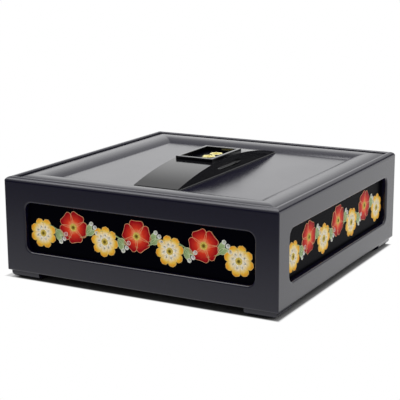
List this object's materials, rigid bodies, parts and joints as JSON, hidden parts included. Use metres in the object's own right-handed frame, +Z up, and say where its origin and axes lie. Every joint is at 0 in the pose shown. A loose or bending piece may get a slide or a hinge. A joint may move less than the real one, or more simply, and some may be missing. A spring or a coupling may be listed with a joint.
{
  "type": "sewing box",
  "caption": "Low square lacquered sewing box with a framed plaque in each side, a drop-in lid with an arched handle and small framed tile, and a divided lift-out tray.",
  "frame": {"origin": "on the floor under the middle of the box, between the feet", "axes": "+Z up; the front faces -Y and the right-hand side +X, as the picture sees them; the handle runs along Y"},
  "size_m": [0.3, 0.3, 0.1162],
  "materials": {
    "black_lacquer": "satin near-black lacquer sprayed over close-grained wood",
    "glazed_plaque": "glossy, opaque, near-black glaze on a fired plaque",
    "hardboard": "bare brown hardboard",
    "stained_ply": "plywood stained black, matt",
    "lining_velvet": "deep red short-pile velvet over card",
    "foot_felt": "pressed black wool felt",
    "zinc_screw": "bright zinc plate",
    "beech": "bare beech"
  },
  "bodies": {
    "case": {"back_backing_board": "hardboard", "back_left_foot": "black_lacquer", "back_lining": "lining_velvet", "back_plaque": "glazed_plaque", "back_right_foot": "black_lacquer", "back_side_panel": "black_lacquer", "bottom_lining": "lining_velvet", "bottom_panel": "stained_ply", "corner_tongues": "beech", "foot_pads": "foot_felt", "foot_screws": "zinc_screw", "front_backing_board": "hardboard", "front_left_foot": "black_lacquer", "front_lining": "lining_velvet", "front_plaque": "glazed_plaque", "front_right_foot": "black_lacquer", "front_side_panel": "black_lacquer", "left_backing_board": "hardboard", "left_lining": "lining_velvet", "left_plaque": "glazed_plaque", "left_side_panel": "black_lacquer", "left_tray_runner": "black_lacquer", "right_backing_board": "hardboard", "right_lining": "lining_velvet", "right_plaque": "glazed_plaque", "right_side_panel": "black_lacquer", "right_tray_runner": "black_lacquer"},
    "lid": {"back_lid_moulding": "black_lacquer", "front_lid_moulding": "black_lacquer", "handle": "black_lacquer", "handle_screws": "zinc_screw", "left_lid_moulding": "black_lacquer", "lid_lining": "lining_velvet", "lid_panel": "black_lacquer", "lid_tongues": "beech", "right_lid_moulding": "black_lacquer", "tile": "glazed_plaque", "tile_frame": "black_lacquer"},
    "tray": {"back_tray_wall": "black_lacquer", "cross_divider": "black_lacquer", "front_tray_wall": "black_lacquer", "left_divider": "black_lacquer", "left_tray_wall": "black_lacquer", "right_divider": "black_lacquer", "right_tray_wall": "black_lacquer", "tray_base": "stained_ply", "tray_pads": "lining_velvet"}
  },
  "joints": [
    {"name": "lid_lift", "type": "slide", "parent": "case", "child": "lid", "axis": [0, 0, 1], "range_m": [0, 0.16]},
    {"name": "tray_lift", "type": "slide", "parent": "case", "child": "tray", "axis": [0, 0, 1], "range_m": [0, 0.08]}
  ],
  "couplings": [
    {"joint": "tray_lift", "follows": "lid_lift", "ratio": 0.5}
  ]
}
